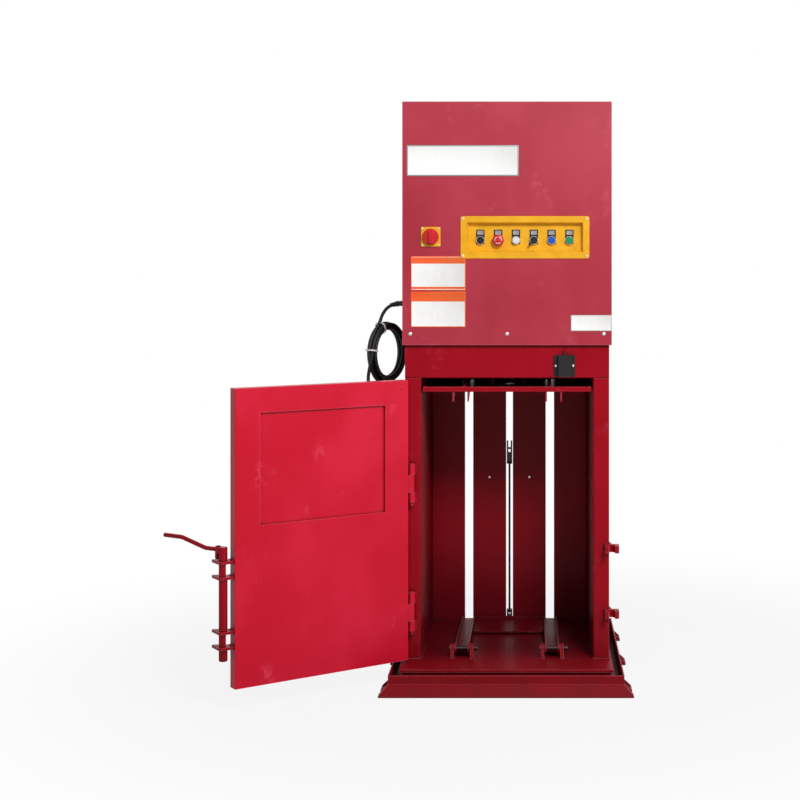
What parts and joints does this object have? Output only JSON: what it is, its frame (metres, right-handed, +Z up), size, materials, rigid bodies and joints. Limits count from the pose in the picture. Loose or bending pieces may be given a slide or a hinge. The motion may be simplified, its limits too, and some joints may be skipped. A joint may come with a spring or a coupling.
{
  "type": "recycling baler",
  "caption": "Upright hydraulic refuse baler in red steel: drip tray, press chamber with slotted back and open door, platen, bale ejector, and a closed head with controls.",
  "frame": {"origin": "centre of the drip tray's underside, on the floor", "axes": "+Z up, -Y towards the user in front of the door, +X to the user's right"},
  "size_m": [1.5531, 1.0523, 2.003],
  "materials": {
    "red_paint": "gloss red enamel",
    "head_paint": "satin red enamel",
    "inner_paint": "gloss red enamel on the door's inner side",
    "yellow_moulding": "fine-grained yellow moulding",
    "black_plastic": "matt black",
    "white_plastic": "gloss white",
    "blue_plastic": "gloss blue",
    "green_plastic": "gloss green",
    "red_plastic": "gloss red",
    "chromed": "bright chromed",
    "steel": "bright zinc-plated steel",
    "rubber": "black rubber sheath",
    "grey_paint": "grey enamel"
  },
  "bodies": {
    "frame": {"drip_tray": "red_paint", "floor_beams": "red_paint", "floor_plate": "red_paint", "left_column": "red_paint", "right_column": "red_paint", "left_side_wall": "red_paint", "right_side_wall": "red_paint", "back_channel_1": "red_paint", "back_channel_2": "red_paint", "back_channel_3": "red_paint", "back_channel_4": "red_paint", "top_frame": "red_paint", "cylinder_deck": "red_paint", "head_shell": "head_paint", "front_panel": "head_paint", "panel_screws": "steel", "control_recess": "yellow_moulding", "recess_screws": "steel", "legend_plates": "black_plastic", "button_collars": "chromed", "contact_blocks": "black_plastic", "switch_plate": "yellow_moulding", "switch_body": "black_plastic", "interlock_box": "black_plastic", "interlock_screws": "steel", "interlock_lead": "rubber", "hinge_eyes": "red_paint", "hinge_pins": "steel", "keepers": "red_paint", "cylinder_barrel": "grey_paint", "rod_gland": "steel", "pivot_ears": "red_paint", "ejector_pins": "steel", "hydraulic_tank": "grey_paint", "pump_motor": "grey_paint", "valve_block": "steel", "hydraulic_hoses": "rubber", "cable_gland": "black_plastic", "mains_cord": "rubber", "cord_coil": "rubber", "coil_ties": "white_plastic", "cord_plug": "black_plastic"},
    "door": {"door_panel": "inner_paint", "door_inset": "inner_paint", "door_knuckles": "red_paint", "latch_lugs": "red_paint"},
    "latch": {"latch_bar": "red_paint", "latch_lever": "red_paint"},
    "press": {"platen": "red_paint", "clevis_pin": "steel", "piston_rod": "chromed"},
    "ejector": {"ejector_frame": "red_paint"},
    "pull": {"pull_rod": "steel"},
    "black_push": {"black_button": "black_plastic"},
    "white_push": {"white_button": "white_plastic"},
    "blue_push": {"blue_button": "blue_plastic"},
    "green_push": {"green_button": "green_plastic"},
    "stop_push": {"stop_button": "red_plastic"},
    "selector": {"selector_knob": "black_plastic"},
    "main_switch": {"switch_knob": "red_plastic"}
  },
  "joints": [
    {"name": "door_swing", "type": "hinge", "parent": "frame", "child": "door", "pos_m": [-0.33, -0.232, 0.46], "axis": [0, 0, -1], "range_deg": [-145, 15]},
    {"name": "latch_turn", "type": "hinge", "parent": "door", "child": "latch", "pos_m": [-0.9039, -0.61188, 0.344], "axis": [0, 0, 1], "range_deg": [-75, 0]},
    {"name": "platen_press", "type": "slide", "parent": "frame", "child": "press", "axis": [0, 0, 1], "range_m": [-0.62, 0]},
    {"name": "ejector_tilt", "type": "hinge", "parent": "frame", "child": "ejector", "pos_m": [0, -0.19, 0.102], "axis": [1, 0, 0], "range_deg": [0, 23.5]},
    {"name": "pull_rod_swing", "type": "hinge", "parent": "ejector", "child": "pull", "pos_m": [0, 0.374, 0.085], "axis": [1, 0, 0], "range_deg": [-24, 0]},
    {"name": "black_press", "type": "slide", "parent": "frame", "child": "black_push", "axis": [0, 1, 0], "range_m": [0, 0.004], "stiffness_N_per_m": 400},
    {"name": "white_press", "type": "slide", "parent": "frame", "child": "white_push", "axis": [0, 1, 0], "range_m": [0, 0.004], "stiffness_N_per_m": 400},
    {"name": "blue_press", "type": "slide", "parent": "frame", "child": "blue_push", "axis": [0, 1, 0], "range_m": [0, 0.004], "stiffness_N_per_m": 400},
    {"name": "green_press", "type": "slide", "parent": "frame", "child": "green_push", "axis": [0, 1, 0], "range_m": [0, 0.004], "stiffness_N_per_m": 400},
    {"name": "stop_press", "type": "slide", "parent": "frame", "child": "stop_push", "axis": [0, 1, 0], "range_m": [0, 0.004]},
    {"name": "selector_turn", "type": "hinge", "parent": "frame", "child": "selector", "pos_m": [0.0929, -0.22, 1.523], "axis": [0, -1, 0], "range_deg": [0, 90]},
    {"name": "switch_turn", "type": "hinge", "parent": "frame", "child": "main_switch", "pos_m": [-0.264, -0.24, 1.535], "axis": [0, 1, 0], "range_deg": [0, 90]}
  ],
  "couplings": [
    {"joint": "pull_rod_swing", "follows": "ejector_tilt", "ratio": -1}
  ]
}
